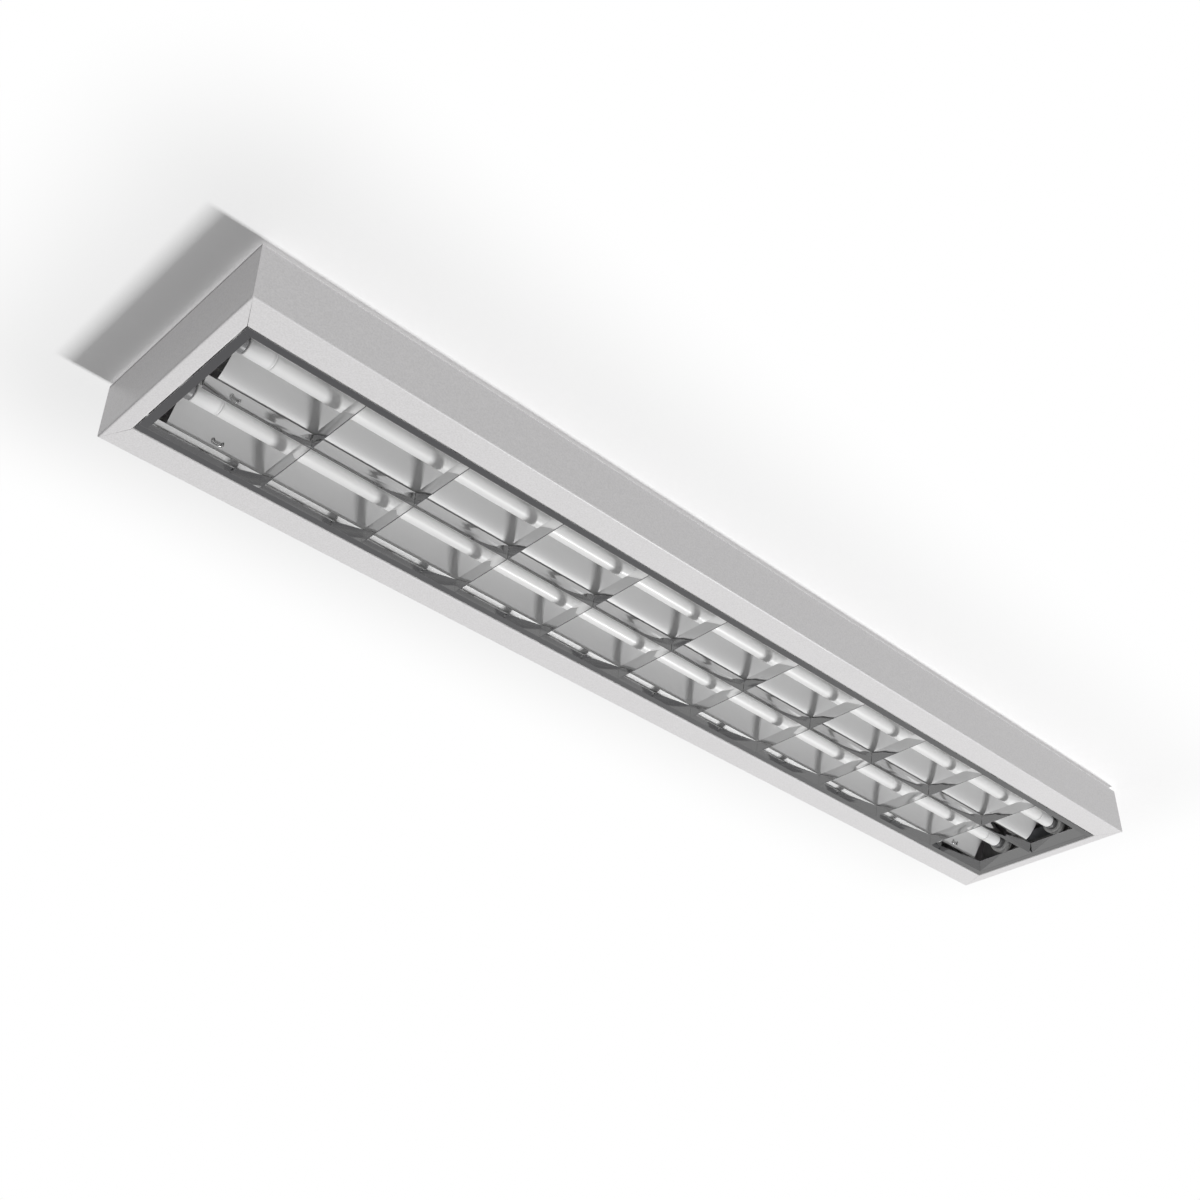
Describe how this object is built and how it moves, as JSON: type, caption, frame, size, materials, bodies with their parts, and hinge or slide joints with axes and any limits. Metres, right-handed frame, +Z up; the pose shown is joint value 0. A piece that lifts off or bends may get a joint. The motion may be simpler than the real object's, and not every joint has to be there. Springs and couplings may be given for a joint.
{
  "type": "surface mounted fluorescent fixture",
  "caption": "Long surface mounted ceiling light for two tubular lamps, with a white sheet steel housing, shaped reflector and a hinged cross-blade louvre.",
  "frame": {"origin": "centre of the housing's back face, which lies on the ceiling", "axes": "+X along the lamps, +Y across them towards the louvre's hinge, +Z up into the ceiling"},
  "size_m": [1.225, 0.22, 0.055],
  "materials": {
    "housing_paint": "fine white powder coat",
    "rivet_aluminium": "plain",
    "galvanised_steel": "galvanised",
    "reflector_aluminium": "satin anodised",
    "spring_steel": "bright",
    "zinc_steel": "zinc plated",
    "ballast_paint": "white gloss",
    "circuit_board": "solder mask",
    "grey_plastic": "moulded",
    "white_plastic": "moulded",
    "holder_plastic": "moulded",
    "rotor_plastic": "moulded",
    "orange_plastic": "moulded",
    "grommet_rubber": "matt",
    "brass": "plain",
    "lead_white": "insulation",
    "lead_blue": "insulation",
    "lead_green": "insulation",
    "louvre_aluminium": "bright anodised",
    "lamp_glass": "white coated glass",
    "cap_aluminium": "pressed"
  },
  "bodies": {
    "housing": {"housing_tray": "housing_paint", "end_wall_left": "housing_paint", "end_wall_right": "housing_paint", "end_wall_rivets": "rivet_aluminium", "reflector_bridges": "galvanised_steel", "reflector_pan": "reflector_aluminium", "reflector_clips": "spring_steel", "end_reflector_left": "reflector_aluminium", "end_reflector_right": "reflector_aluminium", "lampholder_brackets": "galvanised_steel", "lampholder_front_left": "holder_plastic", "lampholder_front_right": "holder_plastic", "lampholder_rear_left": "holder_plastic", "lampholder_rear_right": "holder_plastic", "ballast_case": "galvanised_steel", "ballast_cover": "ballast_paint", "ballast_board": "circuit_board", "ballast_terminals": "grey_plastic", "gear_screws": "zinc_steel", "terminal_block": "white_plastic", "cable_grommet": "grommet_rubber", "cable_clamp": "zinc_steel", "earth_stud": "brass", "earth_nuts": "brass", "lamp_leads_left": "lead_white", "lamp_leads_right": "lead_white", "mains_leads": "lead_blue", "earth_lead": "lead_green", "louvre_springs": "spring_steel"},
    "lamp_front": {"rotor_front_left": "rotor_plastic", "rotor_front_right": "rotor_plastic", "lamp_tube_front": "lamp_glass", "lamp_caps_front": "cap_aluminium", "lamp_pins_front": "brass"},
    "lamp_rear": {"rotor_rear_left": "rotor_plastic", "rotor_rear_right": "rotor_plastic", "lamp_tube_rear": "lamp_glass", "lamp_caps_rear": "cap_aluminium", "lamp_pins_rear": "brass"},
    "louvre": {"louvre_side_front": "louvre_aluminium", "louvre_side_rear": "louvre_aluminium", "louvre_centre_profile": "louvre_aluminium", "louvre_end_left": "louvre_aluminium", "louvre_end_right": "louvre_aluminium", "louvre_hinge_pivots": "zinc_steel", "cross_blade_1": "louvre_aluminium", "cross_blade_2": "louvre_aluminium", "cross_blade_3": "louvre_aluminium", "cross_blade_4": "louvre_aluminium", "cross_blade_5": "louvre_aluminium", "cross_blade_6": "louvre_aluminium", "cross_blade_7": "louvre_aluminium", "cross_blade_8": "louvre_aluminium", "cross_blade_9": "louvre_aluminium", "cross_blade_10": "louvre_aluminium"},
    "release_live": {"release_button_live": "orange_plastic"},
    "release_neutral": {"release_button_neutral": "orange_plastic"},
    "release_earth": {"release_button_earth": "orange_plastic"}
  },
  "joints": [
    {"name": "lamp_front_turn", "type": "hinge", "parent": "housing", "child": "lamp_front", "pos_m": [0, -0.03725, -0.028], "axis": [1, 0, 0], "range_deg": [0, 90]},
    {"name": "lamp_rear_turn", "type": "hinge", "parent": "housing", "child": "lamp_rear", "pos_m": [0, 0.03725, -0.028], "axis": [1, 0, 0], "range_deg": [0, 90]},
    {"name": "louvre_hinge", "type": "hinge", "parent": "housing", "child": "louvre", "pos_m": [0, 0.0768, -0.0531], "axis": [1, 0, 0], "range_deg": [0, 90]},
    {"name": "release_live", "type": "slide", "parent": "housing", "child": "release_live", "axis": [0, 0, 1], "range_m": [0, 0.0015], "stiffness_N_per_m": 800},
    {"name": "release_neutral", "type": "slide", "parent": "housing", "child": "release_neutral", "axis": [0, 0, 1], "range_m": [0, 0.0015], "stiffness_N_per_m": 800},
    {"name": "release_earth", "type": "slide", "parent": "housing", "child": "release_earth", "axis": [0, 0, 1], "range_m": [0, 0.0015], "stiffness_N_per_m": 800}
  ]
}
